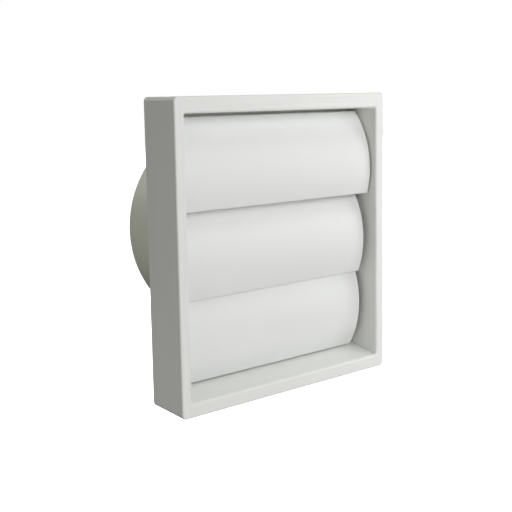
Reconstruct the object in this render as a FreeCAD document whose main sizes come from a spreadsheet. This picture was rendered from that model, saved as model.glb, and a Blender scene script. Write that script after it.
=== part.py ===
import FreeCAD, Part
import math
import os
import Sketcher

# Three-flap gravity wall outlet for an extract duct.
#   +X  right as seen from outside, +Y into the wall, +Z up, millimetres.
#   Origin: centre of the duct spigot on the wall plane (the back of the casing).
#   The casing reaches forward to -Y and is centred a little below the duct axis.

os.makedirs("parts", exist_ok=True)
V = FreeCAD.Vector
X_DIR, Y_DIR = V(1, 0, 0), V(0, 1, 0)
doc = FreeCAD.newDocument("gravity_outlet")

# ------------------------------------------------------------------ dimensions
# alias, value; millimetres, and degrees for the three flap angles
DIMENSIONS = [
    # casing
    ("frame_width", 150.0), ("frame_height", 171.3), ("frame_depth", 31.0),
    ("frame_drop", 6.9),            # casing centre below the duct axis
    ("skin", 2.2),                  # thickness of the outer skirt and the front rim
    ("corner_radius", 2.6), ("back_edge_radius", 1.0), ("front_edge_radius", 1.1),
    # inner and outer faces of the well walls, from the casing centre
    ("opening_half_width", 68.8), ("opening_top", 76.6), ("opening_bottom", 77.6),
    ("well_half_width", 70.3), ("well_top", 78.4), ("well_bottom", 79.4),
    ("well_corner", 1.2), ("rim_radius", 1.3),
    ("plate_recess", 3.05),         # the well walls stop here for the back plate
    ("overlap", 0.3),               # how far an added feature runs into its neighbour
    # sill: depths from the front face, heights from the floor of the opening
    ("sill_front", 1.2), ("sill_root", 0.9), ("sill_lip", 0.15), ("sill_rise", 3.35),
    ("stop_height", 6.4), ("stop_front", 23.4), ("stop_thickness", 1.8),
    # webs, placed from the casing centre
    ("web_thickness", 1.4), ("web_x", 38.0), ("web_z", 56.0), ("web_middle_drop", 2.0),
    # flaps
    ("hinge_depth", 18.5), ("hinge_top", 72.0), ("hinge_pitch", 48.45),
    ("top_half_width", 67.6), ("low_half_width", 67.0), ("flap_skin", 1.6),
    ("arc_radius", 52.3),           # outer curve of the flap
    ("arc_back", 41.35), ("arc_down", 27.57),   # its centre, from the hinge axis
    ("arc_start", 1.44),            # its top, above the hinge axis
    ("nose_radius", 2.6), ("flap_drop", 48.99),
    ("lip_length", 1.75), ("lip_rise", 1.6), ("lip_height", 2.1),
    ("heel_back", 0.6), ("heel_down", 1.6),
    ("cheek", 1.4), ("rib", 1.2), ("rib_bays", 3.0),
    ("bay_top", 2.4), ("bay_back", 9.0),        # limits of the bay cut, from the hinge
    ("flap_edge_radius", 0.4),
    ("top_open", 6.5),              # degrees the top flap stands open
    ("middle_shut", 0.2),           # degrees the middle flap closes further in
    ("bottom_shut", 9.8),           # degrees the bottom flap closes further in
    ("top_float", 0.2),             # sideways float of the top flap, to the right
    ("low_float", 1.6),             # sideways float of the lower two, to the left
    # axles and their bearings
    ("axle_dia", 2.5), ("axle_length", 142.0), ("axle_chamfer", 0.3),
    ("axle_bore_dia", 2.52), ("bearing_dia", 2.66), ("bearing_neck", 2.2),
    ("boss_dia", 7.6), ("boss_height", 1.1),
    ("bearing_overrun", 0.4),       # bearing cuts beyond both bosses together
    ("throat_start", 0.3),          # throat starts this far behind the axle axis
    ("throat_end", 2.0),            # and ends this far in front of the wall plane
    # back plate
    ("plate_gap", 0.3), ("plate_thickness", 3.0), ("plate_corner", 1.6),
    ("spigot_gap", 0.1), ("cut_overrun", 1.0),
    ("screw_hole_dia", 4.6), ("screw_pitch_x", 120.0), ("screw_pitch_z", 112.0),
    ("catch_z", 39.7), ("catch_width", 9.0), ("catch_reach", 16.0), ("catch_root", 0.5),
    ("catch_thickness", 1.4), ("catch_outer", 72.3),
    ("barb", 1.0), ("barb_length", 3.0), ("barb_root", 0.2),
    ("recess_depth", 1.0), ("recess_length", 4.2), ("recess_width", 11.0),
    ("recess_gap", 0.4),            # from the catch's front end to the recess's front
    # spigot
    ("spigot_dia", 124.0), ("register_dia", 126.0), ("spigot_wall", 2.2),
    ("spigot_length", 45.6),
    ("flange_dia", 131.6), ("flange_thickness", 2.0), ("lead_in", 1.2),
]
sheet = doc.addObject("Spreadsheet::Sheet", "Dims")
for row, (alias, number) in enumerate(DIMENSIONS, start=1):
    sheet.set(f"A{row}", alias.replace("_", " "))
    sheet.set(f"B{row}", str(number))
    sheet.setAlias(f"B{row}", alias)
doc.recompute()
SIZE = {alias: float(getattr(sheet, alias)) for alias, _ in DIMENSIONS}

# Inner faces of the skirt, from the casing centre
SKIRT_X = "0.5*Dims.frame_width - Dims.skin"
SKIRT_Z = "0.5*Dims.frame_height - Dims.skin"
HINGE_Y = "Dims.hinge_depth - Dims.frame_depth"

# flap, alias of its half width, tilt, sideways place.
# A positive tilt about +X swings the tip inwards.
HINGES = [
    ("top", "top_half_width", "-Dims.top_open", "Dims.top_float"),
    ("middle", "low_half_width", "Dims.middle_shut", "-Dims.low_float"),
    ("bottom", "low_half_width", "Dims.bottom_shut", "-Dims.low_float"),
]


# ------------------------------------------------------------------ expressions
# Sheet expressions are sums of products, without brackets, and have a space on
# both sides of every + and - between terms.
def value(expr):
    """Number a sheet expression gives, used to start the geometry in place."""
    total = 0.0
    for term in expr.replace("Dims.", "").replace("-", "+-").split("+"):
        term = term.strip()
        if not term:
            continue
        product = -1.0 if term.startswith("-") else 1.0
        for factor in term.lstrip("- ").replace("/", "*/").split("*"):
            factor = factor.strip()
            name = factor.lstrip("/ ")
            number = SIZE[name] if name in SIZE else float(name)
            product = product / number if factor.startswith("/") else product * number
        total += product
    return total


def negated(expr):
    """The same expression with the sign of every term turned round."""
    swapped = expr.replace(" - ", " ~ ").replace(" + ", " - ").replace(" ~ ", " + ")
    return swapped[1:] if swapped.startswith("-") else "-" + swapped


def both_sides(inner, outer):
    """Side, low and high X of a span on the right and of its mirror image."""
    return (("right", inner, outer), ("left", negated(outer), negated(inner)))


def from_centre(expr):
    """Z of a height that is measured from the casing centre."""
    return expr + " - Dims.frame_drop"


def hinge_z(row):
    return f"Dims.hinge_top - Dims.frame_drop - {row}*Dims.hinge_pitch"


# ------------------------------------------------------------------ sketches
def new_body(label):
    body = doc.addObject("PartDesign::Body", label)
    body.Label = label
    return body


def origin_feature(body, role):
    for feature in body.Origin.OriginFeatures:
        if feature.Role == role:
            return feature
    raise RuntimeError("no origin feature " + role)


def new_sketch(body, name, role, offset=None):
    sketch = body.newObject("Sketcher::SketchObject", name)
    sketch.AttachmentSupport = [(origin_feature(body, role), "")]
    sketch.MapMode = "FlatFace"
    if offset:
        sketch.AttachmentOffset = FreeCAD.Placement(V(0, 0, value(offset)), FreeCAD.Rotation())
        sketch.setExpression("AttachmentOffset.Base.z", offset)
    return sketch


def bind(sketch, kind, refs, name, expr):
    index = sketch.addConstraint(Sketcher.Constraint(kind, *refs, value(expr)))
    sketch.renameConstraint(index, name)
    sketch.setExpression("Constraints." + name, expr)


def join(sketch, first, count):
    """Closes a run of edges into a loop, end to start."""
    for i in range(count):
        sketch.addConstraint(Sketcher.Constraint(
            "Coincident", first + i, 2, first + (i + 1) % count, 1))


def polygon(sketch, tag, points):
    """Closed outline from pairs of expressions, bound to the sheet.

    Where two neighbouring points share an expression, the edge between them is
    held vertical or horizontal and only the first of the two is dimensioned.
    """
    first, count = sketch.GeometryCount, len(points)
    places = [V(value(a), value(b), 0) for a, b in points]
    for i in range(count):
        sketch.addGeometry(Part.LineSegment(places[i], places[(i + 1) % count]), False)
    join(sketch, first, count)
    for i in range(count):
        for axis, edge_rule, kind, letter in ((0, "Vertical", "DistanceX", "x"),
                                              (1, "Horizontal", "DistanceY", "y")):
            expr = points[i][axis]
            if expr == points[(i + 1) % count][axis]:
                sketch.addConstraint(Sketcher.Constraint(edge_rule, first + i))
            if expr != points[i - 1][axis]:
                bind(sketch, kind, (-1, 1, first + i, 1), f"{tag}_{letter}{i}", expr)


def rectangle(sketch, tag, left, right, low, high):
    polygon(sketch, tag, [(left, low), (right, low), (right, high), (left, high)])


def casing_rectangle(sketch, tag, half_width, bottom, top):
    """Rectangle reaching to both sides, below and above the casing centre."""
    rectangle(sketch, tag, negated(half_width), half_width,
              from_centre(negated(bottom)), from_centre(top))


def circle(sketch, tag, across, up, diameter):
    index = sketch.GeometryCount
    centre = V(value(across), value(up), 0)
    sketch.addGeometry(Part.Circle(centre, V(0, 0, 1), value(diameter) / 2.0), False)
    bind(sketch, "DistanceX", (-1, 1, index, 3), tag + "_across", across)
    bind(sketch, "DistanceY", (-1, 1, index, 3), tag + "_up", up)
    bind(sketch, "Diameter", (index,), tag + "_dia", diameter)


# ------------------------------------------------------------------ features
def extrude(body, kind, sketch, name, length, both, reverse):
    feature = body.newObject(kind, name)
    feature.Profile = sketch
    feature.Length = value(length)
    feature.setExpression("Length", length)
    if both:
        feature.SideType = "Symmetric"
    feature.Reversed = reverse
    sketch.Visibility = False
    doc.recompute()
    return feature


def pad(body, sketch, name, length, both=False):
    return extrude(body, "PartDesign::Pad", sketch, name, length, both, False)


def pocket(body, sketch, name, length, both=False, reverse=False):
    before = body.Shape.Volume
    feature = extrude(body, "PartDesign::Pocket", sketch, name, length, both, reverse)
    if not body.Shape.Volume < before - 0.01:
        raise RuntimeError(name + " removed nothing")
    return feature


def round_edges(body, name, picker, alias):
    base = body.Tip
    names = [f"Edge{i}" for i, edge in enumerate(base.Shape.Edges, start=1) if picker(edge)]
    if not names:
        raise RuntimeError(name + " found no edges")
    fillet = body.newObject("PartDesign::Fillet", name)
    fillet.Base = (base, names)
    fillet.Radius = SIZE[alias]
    fillet.setExpression("Radius", "Dims." + alias)
    doc.recompute()
    if "Invalid" in fillet.State or fillet.Shape.isNull():
        raise RuntimeError(name + " failed")


def ends(edge):
    return [vertex.Point for vertex in edge.Vertexes]


def straight(edge):
    return edge.Curve.TypeId == "Part::GeomLine"


def along(edge, axis):
    if not straight(edge) or len(edge.Vertexes) != 2:
        return False
    start, end = ends(edge)
    direction = end.sub(start)
    direction.normalize()
    return abs(abs(direction.dot(axis)) - 1.0) < 1e-6


def at_depth(edge, y):
    return all(abs(point.y - y) < 1e-6 for point in ends(edge))


def in_opening(edge):
    """True for edges no further out than the walls of the opening."""
    margin = 0.5
    return (max(abs(p.x) for p in ends(edge)) < SIZE["opening_half_width"] + margin
            and max(abs(p.z + SIZE["frame_drop"]) for p in ends(edge))
            < SIZE["opening_bottom"] + margin)


# ------------------------------------------------------------------ outer frame
# One moulding: outer skirt, flat front rim and the louvre well that carries the
# flaps, with a hollow between the skirt and the well that is open at the back.
def add_shell(frame):
    depth = SIZE["frame_depth"]
    sketch = new_sketch(frame, "frame_outline", "XZ_Plane")
    casing_rectangle(sketch, "outline", "0.5*Dims.frame_width",
                     "0.5*Dims.frame_height", "0.5*Dims.frame_height")
    pad(frame, sketch, "frame_block", "Dims.frame_depth")
    round_edges(frame, "corner_rounds", lambda edge: along(edge, Y_DIR), "corner_radius")
    round_edges(frame, "front_rounds", lambda edge: at_depth(edge, -depth), "front_edge_radius")
    round_edges(frame, "back_rounds", lambda edge: at_depth(edge, 0.0), "back_edge_radius")

    # louvre well, cut from the front face
    sketch = new_sketch(frame, "well_outline", "XZ_Plane", "Dims.frame_depth")
    casing_rectangle(sketch, "well", "Dims.opening_half_width",
                     "Dims.opening_bottom", "Dims.opening_top")
    pocket(frame, sketch, "louvre_well", "Dims.frame_depth")

    def well_corner(edge):
        return (straight(edge) and abs(ends(edge)[0].y - ends(edge)[1].y) > 0.9 * depth
                and in_opening(edge))
    round_edges(frame, "well_corners", well_corner, "well_corner")
    round_edges(frame, "rim_round",
                lambda edge: at_depth(edge, -depth) and in_opening(edge), "rim_radius")

    # hollow between the skirt and the well
    sketch = new_sketch(frame, "hollow_outline", "XZ_Plane")
    casing_rectangle(sketch, "hollow_out", SKIRT_X, SKIRT_Z, SKIRT_Z)
    casing_rectangle(sketch, "hollow_in", "Dims.well_half_width",
                     "Dims.well_bottom", "Dims.well_top")
    pocket(frame, sketch, "hollow", "Dims.frame_depth - Dims.skin", reverse=True)

    # the well walls stop short of the wall plane, which leaves the seat of the back plate
    sketch = new_sketch(frame, "seat_outline", "XZ_Plane")
    casing_rectangle(sketch, "seat", SKIRT_X, SKIRT_Z, SKIRT_Z)
    pocket(frame, sketch, "plate_seat", "Dims.plate_recess", reverse=True)


def add_sill(frame):
    """Floor that falls outwards to shed rain, with the bottom flap's stop behind it."""
    floor = from_centre("-Dims.opening_bottom")
    front = "Dims.sill_front - Dims.frame_depth"
    stop_face = "Dims.stop_front - Dims.frame_depth"
    stop_back = stop_face + " + Dims.stop_thickness"
    root = floor + " - Dims.sill_root"
    stop_top = floor + " + Dims.stop_height"
    sketch = new_sketch(frame, "sill_profile", "YZ_Plane")
    polygon(sketch, "sill", [
        (front, root), (stop_back, root), (stop_back, stop_top), (stop_face, stop_top),
        (stop_face, floor + " + Dims.sill_rise"), (front, floor + " + Dims.sill_lip")])
    pad(frame, sketch, "sill", "2*Dims.opening_half_width + 2*Dims.overlap", both=True)


def add_bearings(frame):
    """Boss on the hidden side of each well wall, a bore for the axle, and a
    narrower throat behind it through which the axle snaps in from the back."""
    for side, start, _ in both_sides("Dims.well_half_width - Dims.overlap",
                                     "Dims.well_half_width + Dims.boss_height"):
        sketch = new_sketch(frame, "boss_profile_" + side, "YZ_Plane", start)
        for row, (tag, *_) in enumerate(HINGES):
            circle(sketch, "boss_" + tag, HINGE_Y, hinge_z(row), "Dims.boss_dia")
        pad(frame, sketch, "bosses_" + side, "Dims.boss_height + Dims.overlap")

    through = "2*Dims.well_half_width + 2*Dims.boss_height + Dims.bearing_overrun"
    sketch = new_sketch(frame, "bearing_profile", "YZ_Plane")
    for row, (tag, *_) in enumerate(HINGES):
        circle(sketch, "bearing_" + tag, HINGE_Y, hinge_z(row), "Dims.bearing_dia")
    pocket(frame, sketch, "bearings", through, both=True)

    sketch = new_sketch(frame, "throat_profile", "YZ_Plane")
    for row, (tag, *_) in enumerate(HINGES):
        rectangle(sketch, "throat_" + tag,
                  HINGE_Y + " + Dims.throat_start", "-Dims.throat_end",
                  hinge_z(row) + " - 0.5*Dims.bearing_neck",
                  hinge_z(row) + " + 0.5*Dims.bearing_neck")
    pocket(frame, sketch, "throats", through, both=True)


def add_webs(frame):
    """Webs that tie the well to the skirt and carry the back plate."""
    half = "0.5*Dims.web_thickness"
    skirt_x, skirt_z = SKIRT_X + " + Dims.overlap", SKIRT_Z + " + Dims.overlap"
    sketch = new_sketch(frame, "web_outline", "XZ_Plane", "Dims.plate_recess")
    for tag, z in (("upper", "Dims.web_z"), ("middle", "-Dims.web_middle_drop"),
                   ("lower", "-Dims.web_z")):
        for side, left, right in both_sides("Dims.well_half_width - Dims.overlap", skirt_x):
            rectangle(sketch, f"web_{tag}_{side}", left, right,
                      from_centre(f"{z} - {half}"), from_centre(f"{z} + {half}"))
    for side, left, right in both_sides(f"Dims.web_x - {half}", f"Dims.web_x + {half}"):
        rectangle(sketch, "web_top_" + side, left, right,
                  from_centre("Dims.well_top - Dims.overlap"), from_centre(skirt_z))
        rectangle(sketch, "web_bottom_" + side, left, right,
                  from_centre(negated(skirt_z)),
                  from_centre("-Dims.well_bottom + Dims.overlap"))
    pad(frame, sketch, "webs", "Dims.frame_depth - Dims.plate_recess - 0.5*Dims.skin")


def add_catch_recesses(frame):
    """Two recesses in each side of the skirt, cut outwards from its inner face."""
    front = "-Dims.catch_reach - Dims.recess_gap"
    sketch = new_sketch(frame, "catch_pocket_outline", "YZ_Plane", SKIRT_X)
    for tag, z in (("upper", "Dims.catch_z"), ("lower", "-Dims.catch_z")):
        rectangle(sketch, "catch_" + tag, front, front + " + Dims.recess_length",
                  from_centre(z + " - 0.5*Dims.recess_width"),
                  from_centre(z + " + 0.5*Dims.recess_width"))
    right = pocket(frame, sketch, "catch_pockets_right", "Dims.recess_depth", reverse=True)
    mirror = frame.newObject("PartDesign::Mirrored", "catch_pockets_left")
    mirror.Originals = [right]
    mirror.MirrorPlane = (origin_feature(frame, "YZ_Plane"), [""])
    frame.Tip = mirror
    doc.recompute()


def make_frame():
    frame = new_body("outer_frame")
    add_shell(frame)
    add_sill(frame)
    add_bearings(frame)
    add_webs(frame)
    add_catch_recesses(frame)
    return frame


# ------------------------------------------------------------------ back plate
def add_catches(back):
    """Four catches that stand forward near the plate's side edges, with a wedge
    shaped barb on the outer face of each."""
    half = "0.5*Dims.catch_width"
    levels = (("upper", "Dims.catch_z"), ("lower", "-Dims.catch_z"))
    sketch = new_sketch(back, "catch_outline", "XZ_Plane",
                        "Dims.plate_thickness - Dims.catch_root")
    for tag, z in levels:
        for side, left, right in both_sides("Dims.catch_outer - Dims.catch_thickness",
                                            "Dims.catch_outer"):
            rectangle(sketch, f"catch_{tag}_{side}", left, right,
                      from_centre(f"{z} - {half}"), from_centre(f"{z} + {half}"))
    pad(back, sketch, "catches", "Dims.catch_reach - Dims.plate_thickness + Dims.catch_root")

    root, tip = "Dims.catch_outer - Dims.barb_root", "Dims.catch_outer + Dims.barb"
    front, rear = "-Dims.catch_reach", "-Dims.catch_reach + Dims.barb_length"
    for side, root_x, tip_x in (("right", root, tip), ("left", negated(root), negated(tip))):
        for tag, z in levels:
            sketch = new_sketch(back, f"barb_{side}_{tag}", "XY_Plane",
                                from_centre(f"{z} - {half}"))
            polygon(sketch, "barb", [(root_x, front), (tip_x, rear), (root_x, rear)])
            pad(back, sketch, f"barb_pad_{side}_{tag}", "Dims.catch_width")


def make_back_plate():
    back = new_body("back_plate")
    half_height = SKIRT_Z + " - Dims.plate_gap"
    sketch = new_sketch(back, "plate_outline", "XZ_Plane")
    casing_rectangle(sketch, "plate", SKIRT_X + " - Dims.plate_gap", half_height, half_height)
    pad(back, sketch, "plate", "Dims.plate_thickness")
    round_edges(back, "plate_corners", lambda edge: along(edge, Y_DIR), "plate_corner")
    add_catches(back)

    # hole for the spigot and the four wall screw holes
    sketch = new_sketch(back, "hole_outline", "XZ_Plane")
    circle(sketch, "duct_hole", "0", "0", "Dims.register_dia + 2*Dims.spigot_gap")
    for level, z_sign in (("upper", ""), ("lower", "-")):
        for side, x_sign in (("right", ""), ("left", "-")):
            circle(sketch, f"screw_{level}_{side}", x_sign + "0.5*Dims.screw_pitch_x",
                   from_centre(z_sign + "0.5*Dims.screw_pitch_z"), "Dims.screw_hole_dia")
    pocket(back, sketch, "plate_holes", "Dims.plate_thickness + Dims.cut_overrun", reverse=True)
    return back


# ------------------------------------------------------------------ duct spigot
def make_spigot():
    """Turned about Y: the tube behind the wall plane, a thicker register that
    centres it in the back plate, a flange that bears on the plate's front face,
    and a lead-in for the duct at the far end."""
    spigot = new_body("duct_spigot")
    tube, flange, register = "0.5*Dims.spigot_dia", "0.5*Dims.flange_dia", "0.5*Dims.register_dia"
    bore = tube + " - Dims.spigot_wall"
    flange_back = "-Dims.plate_thickness"
    flange_front = flange_back + " - Dims.flange_thickness"
    far_end = "Dims.spigot_length"
    sketch = new_sketch(spigot, "spigot_profile", "XY_Plane")
    polygon(sketch, "section", [
        (bore, flange_front), (flange, flange_front), (flange, flange_back),
        (register, flange_back), (register, "0"), (tube, "0"),
        (tube, far_end + " - 2*Dims.lead_in"), (tube + " - Dims.lead_in", far_end),
        (bore, far_end)])
    turned = spigot.newObject("PartDesign::Revolution", "spigot_turned")
    turned.Profile = sketch
    turned.ReferenceAxis = (origin_feature(spigot, "Y_Axis"), [""])
    turned.Angle = 360.0
    doc.recompute()
    return spigot


# ------------------------------------------------------------------ flaps
# A flap is built in its own frame: hinge axis along X through the origin.
def on_arc(radius, z):
    """Point in the YZ sketch on the front of a circle about the flap's arc centre."""
    rise = z + SIZE["arc_down"]
    return V(SIZE["arc_back"] - math.sqrt(radius * radius - rise ** 2), z, 0)


def arc_profile(sketch, radius, top, low, corners):
    """Arc (edge 0) from top to low, closed by three lines through two corners."""
    centre = V(SIZE["arc_back"], -SIZE["arc_down"], 0)
    start, end = on_arc(value(radius), value(top)), on_arc(value(radius), value(low))
    angles = [math.atan2(p.y - centre.y, p.x - centre.x) % (2 * math.pi) for p in (start, end)]
    sketch.addGeometry(
        Part.ArcOfCircle(Part.Circle(centre, V(0, 0, 1), value(radius)), *angles), False)
    path = [end] + corners + [start]
    for line_start, line_end in zip(path, path[1:]):
        sketch.addGeometry(Part.LineSegment(line_start, line_end), False)
    join(sketch, 0, 4)
    bind(sketch, "DistanceX", (-1, 1, 0, 3), "centre_back", "Dims.arc_back")
    bind(sketch, "DistanceY", (-1, 1, 0, 3), "centre_down", "-Dims.arc_down")
    bind(sketch, "Radius", (0,), "arc_size", radius)
    bind(sketch, "DistanceY", (-1, 1, 0, 2), "arc_low", low)
    bind(sketch, "DistanceY", (-1, 1, 0, 1), "arc_top", top)


def add_flap_blank(body, label, wide):
    """Outer curve, bevelled tip, and a straight back up to the heel at the nose."""
    tip = on_arc(SIZE["arc_radius"], -SIZE["flap_drop"])
    lip_end = tip + V(SIZE["lip_length"], SIZE["lip_rise"], 0)
    heel = V(SIZE["heel_back"], -SIZE["heel_down"], 0)
    sketch = new_sketch(body, label + "_section", "YZ_Plane")
    arc_profile(sketch, "Dims.arc_radius", "Dims.arc_start", "-Dims.flap_drop", [lip_end, heel])
    bind(sketch, "DistanceX", (1, 1, 1, 2), "lip", "Dims.lip_length")
    bind(sketch, "DistanceY", (1, 1, 1, 2), "lip_slope", "Dims.lip_rise")
    bind(sketch, "DistanceX", (-1, 1, 3, 1), "heel_across", "Dims.heel_back")
    bind(sketch, "DistanceY", (-1, 1, 3, 1), "heel_up", "-Dims.heel_down")
    pad(body, sketch, label + "_blank", "2*" + wide, both=True)


def add_flap_bays(body, label, wide):
    """Hollows in the back, which leave the skin, two end cheeks, the ribs
    between the bays and a thin bead along the tip."""
    # the number of bays is read from the sheet once, while the flap is built
    count = int(SIZE["rib_bays"])
    bay = f"2*{wide}/{count} - 2*Dims.cheek/{count} - {count - 1}*Dims.rib/{count}"
    low = "-Dims.flap_drop + Dims.lip_height"
    corners = [V(SIZE["bay_back"], value(low), 0), V(SIZE["bay_back"], SIZE["bay_top"], 0)]
    sketch = new_sketch(body, label + "_bay_section", "YZ_Plane", f"-{wide} + Dims.cheek")
    arc_profile(sketch, "Dims.arc_radius - Dims.flap_skin", "Dims.bay_top", low, corners)
    sketch.addConstraint(Sketcher.Constraint("Horizontal", 1))
    sketch.addConstraint(Sketcher.Constraint("Vertical", 2))
    sketch.addConstraint(Sketcher.Constraint("Horizontal", 3))
    bind(sketch, "DistanceX", (-1, 1, 2, 1), "bay_rear", "Dims.bay_back")
    first_bay = pocket(body, sketch, label + "_bay", bay, reverse=True)

    pattern = body.newObject("PartDesign::LinearPattern", label + "_bays")
    pattern.Originals = [first_bay]
    pattern.Direction = (origin_feature(body, "X_Axis"), [""])
    pattern.Length = (count - 1) * value(bay + " + Dims.rib")
    pattern.setExpression("Length", f"{count - 1}*({bay} + Dims.rib)")
    pattern.Occurrences = count
    body.Tip = pattern
    doc.recompute()


def put_on_hinge(obj, row, x):
    obj.setExpression("Placement.Base.x", x)
    obj.setExpression("Placement.Base.y", HINGE_Y)
    obj.setExpression("Placement.Base.z", hinge_z(row))


def make_flap(label, row, half_alias, tilt, x):
    wide = "Dims." + half_alias
    body = new_body(label)
    add_flap_blank(body, label, wide)
    add_flap_bays(body, label, wide)

    # hinge nose: a tube over the whole width, bored for the axle
    sketch = new_sketch(body, label + "_nose_section", "YZ_Plane")
    circle(sketch, "nose", "0", "0", "2*Dims.nose_radius")
    pad(body, sketch, label + "_nose", "2*" + wide, both=True)
    sketch = new_sketch(body, label + "_bore_section", "YZ_Plane")
    circle(sketch, "bore", "0", "0", "Dims.axle_bore_dia")
    pocket(body, sketch, label + "_bore", f"2*{wide} + 2*Dims.cut_overrun", both=True)

    # soft edges along the tip and down both ends of the outer curve
    tip = on_arc(SIZE["arc_radius"], -SIZE["flap_drop"])

    def outer_edge(edge):
        if straight(edge):
            point = ends(edge)[0]
            return (along(edge, X_DIR) and abs(point.z - tip.y) < 1e-4
                    and abs(point.y - tip.x) < 1e-3)
        if (edge.Curve.TypeId == "Part::GeomCircle"
                and abs(edge.Curve.Radius - SIZE["arc_radius"]) < 1e-3):
            return abs(abs(edge.CenterOfMass.x) - SIZE[half_alias]) < 1e-3
        return False
    round_edges(body, label + "_edges", outer_edge, "flap_edge_radius")

    # a first angle other than zero sets the axis that the bound tilt turns about
    body.Placement = FreeCAD.Placement(V(0, 0, 0), FreeCAD.Rotation(X_DIR, -1.0))
    put_on_hinge(body, row, x)
    body.setExpression("Placement.Rotation.Angle", tilt)
    doc.recompute()
    return body


# ------------------------------------------------------------------ axles
def make_axle(label, row, x):
    rod = doc.addObject("Part::Cylinder", label + "_rod")
    rod.setExpression("Radius", "0.5*Dims.axle_dia")
    rod.setExpression("Height", "Dims.axle_length")
    axle = doc.addObject("Part::Chamfer", label)
    axle.Base = rod
    doc.recompute()
    chamfer = SIZE["axle_chamfer"]
    axle.Edges = [(i, chamfer, chamfer) for i, edge in enumerate(rod.Shape.Edges, start=1)
                  if edge.Curve.TypeId == "Part::GeomCircle"]
    axle.Label = label
    axle.Placement = FreeCAD.Placement(V(0, 0, 0), FreeCAD.Rotation(Y_DIR, 90.0))
    put_on_hinge(axle, row, x + " - 0.5*Dims.axle_length")
    doc.recompute()
    return axle


# ------------------------------------------------------------------ build and export
pieces = [make_frame(), make_back_plate(), make_spigot()]
for row, (tag, half_alias, tilt, x) in enumerate(HINGES):
    pieces.append(make_flap(tag + "_flap", row, half_alias, tilt, x))
for row, (tag, _, _, x) in enumerate(HINGES):
    pieces.append(make_axle(tag + "_axle", row, x))

doc.recompute()
for obj in doc.Objects:
    state = list(getattr(obj, "State", []))
    if "Invalid" in state or "Error" in state:
        raise RuntimeError(f"{obj.Name} failed: {state}")
for piece in pieces:
    shape = piece.Shape
    if shape.isNull() or not shape.isValid():
        raise RuntimeError(piece.Label + " has a bad shape")
    if len(shape.Solids) != 1:
        raise RuntimeError(f"{piece.Label} holds {len(shape.Solids)} solids")
    shape.exportStep(f"parts/{piece.Label}.step")
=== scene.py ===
"""A wall vent: a casing with three flaps on steel axles, a back plate and a duct spigot.

Units are metres. The vent faces -Y, its axles run along X and +Z is up.
The shapes come from the CAD pieces; this script adds materials, camera, lights and floor.
"""
import math

import bmesh
import bpy
from mathutils import Matrix, Vector


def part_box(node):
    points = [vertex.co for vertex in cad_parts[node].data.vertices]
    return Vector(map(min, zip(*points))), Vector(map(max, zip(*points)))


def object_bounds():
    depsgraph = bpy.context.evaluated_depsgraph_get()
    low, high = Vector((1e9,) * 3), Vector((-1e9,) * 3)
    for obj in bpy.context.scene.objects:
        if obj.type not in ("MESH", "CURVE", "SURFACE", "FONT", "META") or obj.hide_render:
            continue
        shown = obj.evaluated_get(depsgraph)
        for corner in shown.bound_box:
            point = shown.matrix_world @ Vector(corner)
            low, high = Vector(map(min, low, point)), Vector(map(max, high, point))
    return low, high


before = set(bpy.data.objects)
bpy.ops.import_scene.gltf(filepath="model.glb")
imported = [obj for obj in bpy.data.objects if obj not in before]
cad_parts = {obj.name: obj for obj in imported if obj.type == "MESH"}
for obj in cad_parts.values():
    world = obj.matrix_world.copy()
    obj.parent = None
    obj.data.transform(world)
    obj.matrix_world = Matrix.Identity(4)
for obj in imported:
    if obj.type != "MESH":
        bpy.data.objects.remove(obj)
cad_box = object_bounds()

scene = bpy.context.scene

# The axis of the painted light slope, lighter towards the right.
X_AXIS_TILTED = (1.0, 0.0, 0.1)   # left to right, leaning slightly upwards
Z_AXIS = (0.0, 0.0, 1.0)
WHITE = (1.0, 1.0, 1.0)
NOISE_SPAN = (0.3, 0.7)           # part of the noise range that is remapped


# ---- shader helpers ----

def add_node(tree, kind, inputs=None, **settings):
    """Add a node. Each input is either a value or an output socket to link from."""
    node = tree.nodes.new("ShaderNode" + kind)
    for name, value in settings.items():
        setattr(node, name, value)
    for key, value in (inputs or {}).items():
        if isinstance(value, bpy.types.NodeSocket):
            tree.links.new(value, node.inputs[key])
        else:
            node.inputs[key].default_value = value
    return node


def new_shader(name):
    """An empty material with a Principled shader on its output."""
    material = bpy.data.materials.new(name)
    material.use_nodes = True
    tree = material.node_tree
    tree.nodes.clear()
    output = add_node(tree, "OutputMaterial")
    principled = add_node(tree, "BsdfPrincipled")
    tree.links.new(principled.outputs[0], output.inputs[0])
    return material, tree, principled


def noise(tree, scale, detail):
    """Noise in object space; scale is its frequency along each axis."""
    coords = add_node(tree, "TexCoord")
    mapping = add_node(tree, "Mapping", {"Vector": coords.outputs["Object"], "Scale": scale})
    texture = add_node(tree, "TexNoise", {
        "Vector": mapping.outputs[0], "Scale": 1.0, "Detail": detail, "Roughness": 0.55})
    return texture.outputs[0]


def even_noise(tree, frequency, detail):
    return noise(tree, (frequency,) * 3, detail)


def remap(tree, source, span, result, interpolation="LINEAR"):
    """Map the (low, high) pair span onto the pair result."""
    inputs = dict(enumerate((source, *span, *result)))
    return add_node(tree, "MapRange", inputs, interpolation_type=interpolation).outputs[0]


def math_node(tree, operation, *values):
    return add_node(tree, "Math", dict(enumerate(values)), operation=operation).outputs[0]


def multiply(tree, first, second):
    return math_node(tree, "MULTIPLY", first, second)


def along(tree, axis, span, result):
    """A value that changes smoothly between two places along one axis."""
    coords = add_node(tree, "TexCoord")
    place = add_node(tree, "VectorMath", {0: coords.outputs["Object"], 1: axis},
                     operation="DOT_PRODUCT")
    return remap(tree, place.outputs["Value"], span, result, interpolation="SMOOTHSTEP")


def test_abs_x(tree, vector, operation, limit):
    """1 where the size of the vector's X passes the test, otherwise 0."""
    parts = add_node(tree, "SeparateXYZ", {0: vector})
    return math_node(tree, operation, math_node(tree, "ABSOLUTE", parts.outputs[0]), limit)


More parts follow.
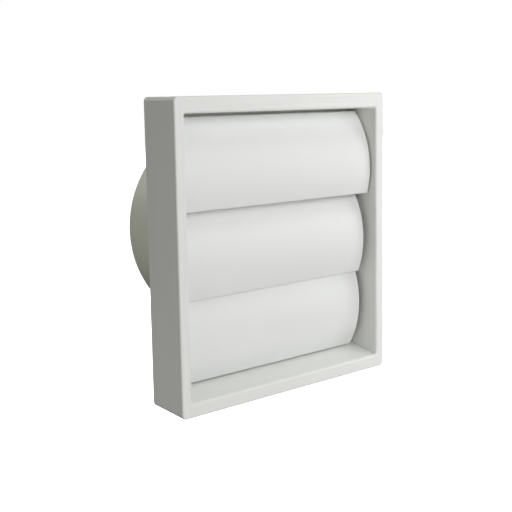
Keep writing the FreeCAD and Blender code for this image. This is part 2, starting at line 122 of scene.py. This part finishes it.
def mix_colours(tree, factor, first, second):
    return add_node(tree, "Mix", {0: factor, 6: first, 7: second}, data_type="RGBA").outputs[2]


# ---- materials ----

SIDE_RAIL_X = 0.0688              # the side rails lie beyond this distance from the middle
WELL_X = 0.0705                   # the walls of the well lie within this distance
STREAK_ALONG = 28.0               # low noise frequency, along a streak
STREAK_ACROSS = 1500.0            # high noise frequency, across it
# Dark olive of the painted shade on the side walls of the well.
PAINTED_SHADE_COLOUR = (0.26, 0.26, 0.18, 1)


def streaks(tree, strength):
    """Tone streaks, upright on the side rails and along X elsewhere."""
    coords = add_node(tree, "TexCoord")
    on_side = test_abs_x(tree, coords.outputs["Object"], "GREATER_THAN", SIDE_RAIL_X)
    level = noise(tree, (STREAK_ALONG, STREAK_ACROSS, STREAK_ACROSS), detail=2.0)
    upright = noise(tree, (STREAK_ACROSS, STREAK_ACROSS, STREAK_ALONG), detail=2.0)
    pick = add_node(tree, "Mix", {0: on_side, 2: level, 3: upright}, data_type="FLOAT")
    return remap(tree, pick.outputs[0], span=(0.25, 0.75), result=(1.0 - strength, 1.0 + strength))


def painted_shade_amount(tree, wall_shade):
    """How much painted shade darkens the side walls of the well, more towards the top."""
    coords = add_node(tree, "TexCoord")
    faces_sideways = test_abs_x(tree, coords.outputs["Normal"], "GREATER_THAN", 0.9)
    in_well = test_abs_x(tree, coords.outputs["Object"], "LESS_THAN", WELL_X)
    walls = multiply(tree, faces_sideways, in_well)
    darkening = along(tree, Z_AXIS, span=(-0.05, 0.075), result=(0.2 * wall_shade, wall_shade))
    return multiply(tree, walls, darkening)


def plastic(name, base, rough=0.36, mottle=0.016, streak=0.0, grain=0.25, painted_light_slope=0.0,
            shade=None, wall_shade=0.0):
    """Moulded plastic with slight mottling and a fine eggshell bump.

    streak: strength of the drawn streaks; painted_light_slope: painted light, the tone lighter
    towards the right;
    shade: painted light and shade along z, ((low z, high z), (low tone, high tone));
    wall_shade: strength of the painted shade on the side walls of the well.
    """
    material, tree, principled = new_shader(name)
    link = tree.links.new
    tone = remap(tree, even_noise(tree, 22.0, detail=3.0), NOISE_SPAN,
                 result=(1.0 - mottle, 1.0 + mottle * 0.4))
    if streak:
        tone = multiply(tree, tone, streaks(tree, streak))
    # Painted light: the tone grows lighter towards the right, where more light reaches the vent.
    if painted_light_slope:
        left_to_right = along(tree, X_AXIS_TILTED, span=(-0.1, 0.1),
                              result=(1.0 - painted_light_slope, 1.0 + painted_light_slope))
        tone = multiply(tree, tone, left_to_right)
    # Painted light and shade along z: lighter near a flap's top edge, darker towards the bottom of
    # the spigot.
    if shade:
        tone = multiply(tree, tone, along(tree, Z_AXIS, *shade))
    colour = add_node(tree, "VectorMath", {0: base, "Scale": tone}, operation="SCALE").outputs[0]
    # Painted shade: the side walls of the well are mixed towards dark olive, more towards the top.
    if wall_shade:
        colour = mix_colours(tree, painted_shade_amount(tree, wall_shade), colour, PAINTED_SHADE_COLOUR)
    link(colour, principled.inputs["Base Color"])

    roughness = remap(tree, even_noise(tree, 140.0, detail=3.0), NOISE_SPAN,
                      result=(rough - 0.04, rough + 0.05))
    link(roughness, principled.inputs["Roughness"])
    bump = add_node(tree, "Bump", {
        "Strength": grain, "Distance": 0.00003, "Height": even_noise(tree, 2600.0, detail=2.0)})
    link(bump.outputs["Normal"], principled.inputs["Normal"])
    principled.inputs["IOR"].default_value = 1.5
    return material


def steel(name):
    """Drawn wire with fine lines along the rod, which runs along X."""
    material, tree, principled = new_shader(name)
    principled.inputs["Metallic"].default_value = 1.0
    lines = noise(tree, (40.0, 4000.0, 4000.0), detail=3.0)
    colour = mix_colours(tree, lines, (0.42, 0.42, 0.43, 1), (0.63, 0.63, 0.64, 1))
    tree.links.new(colour, principled.inputs["Base Color"])
    roughness = remap(tree, lines, NOISE_SPAN, result=(0.24, 0.36))
    tree.links.new(roughness, principled.inputs["Roughness"])
    return material


def flap_plastic(name, painted_highlight_gain):
    """Flap plastic with painted light: a painted highlight raises the tone to
    painted_highlight_gain near the flap's top edge, where shade falls under the part above, and
    the tone grows lighter towards the right.
    """
    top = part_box(name)[1][2]
    return plastic(name + "_plastic", (0.781, 0.790, 0.778), rough=0.38, mottle=0.010,
                   painted_light_slope=0.026, shade=((top - 0.026, top - 0.002), (1.0, painted_highlight_gain)))


def dress_pieces():
    materials = {
        # Casing: painted light lighter towards the right, and painted shade on the side walls of
        # the well.
        "outer_frame": plastic("casing_plastic", (0.793, 0.800, 0.774),
                               streak=0.028, painted_light_slope=0.058, wall_shade=0.17),
        "back_plate": plastic("back_plastic", (0.770, 0.770, 0.742), rough=0.42),
        # Spigot: painted shade, darker towards its bottom.
        "duct_spigot": plastic("spigot_plastic", (0.757, 0.772, 0.655), rough=0.40,
                               shade=((-0.06, 0.0), (0.72, 1.0))),
        "axle": steel("axle_steel"),
    }
    # Painted highlight near each flap's top edge, strongest on the top flap.
    for name, painted_highlight_gain in (("top_flap", 1.15), ("middle_flap", 1.08), ("bottom_flap", 1.0)):
        materials[name] = flap_plastic(name, painted_highlight_gain)
    for name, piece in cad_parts.items():
        piece.data.materials.clear()
        piece.data.materials.append(materials.get(name, materials["axle"]))


dress_pieces()


# ---- camera ----

def add_camera(location, azimuth, elevation, roll):
    """A camera in front of the vent. Angles are in degrees; azimuth 0 looks along +Y."""
    azimuth, elevation, roll = map(math.radians, (azimuth, elevation, roll))
    back = Vector((math.sin(azimuth) * math.cos(elevation),
                   -math.cos(azimuth) * math.cos(elevation),
                   math.sin(elevation)))
    forward = -back
    right = forward.cross(Vector(Z_AXIS)).normalized()
    up = right.cross(forward)
    rolled_right = right * math.cos(roll) + up * math.sin(roll)
    rolled_up = up * math.cos(roll) - right * math.sin(roll)
    matrix = Matrix((rolled_right, rolled_up, back)).transposed().to_4x4()
    matrix.translation = location

    data = bpy.data.cameras.new("view_camera")
    data.sensor_width = 36.0
    data.sensor_fit = "HORIZONTAL"
    data.lens = 61.70203125
    data.shift_x = -0.009765625
    data.shift_y = -0.10306640625
    data.clip_start = 0.01
    camera = bpy.data.objects.new("view_camera", data)
    camera.matrix_world = matrix
    scene.collection.objects.link(camera)
    scene.camera = camera


add_camera((-0.31324, -0.41265, 0.07869), azimuth=-37.489, elevation=7.047, roll=-0.993)


# ---- lights ----

def area(name, location, size, energy, color=WHITE, target=(0, 0, 0)):
    """A square area light aimed at target."""
    light = bpy.data.lights.new(name, "AREA")
    light.shape = "RECTANGLE"
    light.size = light.size_y = size
    light.energy = energy
    light.color = color
    lamp = bpy.data.objects.new(name, light)
    lamp.location = location
    aim = Vector(target) - Vector(location)
    lamp.rotation_euler = aim.to_track_quat("-Z", "Y").to_euler()
    scene.collection.objects.link(lamp)


WARM = (1.0, 0.975, 0.93)
area("front", (0.0, -1.5, 0.3), size=1.0, energy=12.2)
area("front_left", (-1.2, -1.0, 0.4), size=1.0, energy=2.7)
area("near_right_up", (0.45, -0.5, 0.42), size=0.35, energy=0.36)
area("near_right", (0.55, -0.4, 0.0), size=0.35, energy=0.70, color=(0.98, 1.0, 1.0))
area("middle_right", (0.75, -0.75, 0.35), size=0.4, energy=0.95)
area("top", (0.2, -0.3, 1.6), size=1.0, energy=10.0, color=(0.975, 1.0, 0.975))
area("left_low", (-1.3, -0.1, -0.9), size=1.0, energy=0.6, color=WARM)
area("near_left", (-0.45, -0.12, -0.2), size=0.3, energy=0.39, color=WARM,
     target=(-0.075, 0, -0.05))
area("low", (0.2, -1.0, -1.0), size=1.0, energy=4.9, color=(1.0, 0.99, 0.985))
area("back_left", (-0.9, 1.0, 0.9), size=1.0, energy=5.3)
area("back_right", (0.9, 1.3, 0.3), size=1.0, energy=9.0)


# ---- world ----

def add_world():
    """White as the camera sees it, but giving very little light."""
    world = bpy.data.worlds.new("studio")
    scene.world = world
    world.use_nodes = True
    tree = world.node_tree
    tree.nodes.clear()
    lighting, seen = (
        add_node(tree, "Background", {0: (*WHITE, 1), 1: strength}).outputs[0]
        for strength in (0.004, 1.0))
    rays = add_node(tree, "LightPath")
    mix = add_node(tree, "MixShader", {0: rays.outputs["Is Camera Ray"], 1: lighting, 2: seen})
    add_node(tree, "OutputWorld", {0: mix.outputs[0]})


add_world()
scene.view_settings.view_transform = "Standard"


# ---- floor ----

def add_floor(half_width=6.0, gap=0.0005, drop=0.25):
    """A glowing white square gap + drop below the vent, seen only directly by the camera."""
    z = cad_box[0][2] - gap
    corners = ((-1, -1), (1, -1), (1, 1), (-1, 1))
    bm = bmesh.new()
    bm.faces.new([bm.verts.new((x * half_width, y * half_width, z)) for x, y in corners])
    mesh = bpy.data.meshes.new("floor")
    bm.to_mesh(mesh)
    bm.free()
    floor = bpy.data.objects.new("floor", mesh)
    scene.collection.objects.link(floor)

    paint = plastic("floor_paint", (0.95, 0.95, 0.95), rough=0.9, grain=0.0)
    principled = paint.node_tree.nodes["Principled BSDF"]
    principled.inputs["Emission Color"].default_value = (*WHITE, 1)
    principled.inputs["Emission Strength"].default_value = 1.4
    mesh.materials.append(paint)
    floor.location.z = -drop
    floor.visible_diffuse = False
    floor.visible_glossy = False
    floor.visible_shadow = False
    return floor


add_floor()
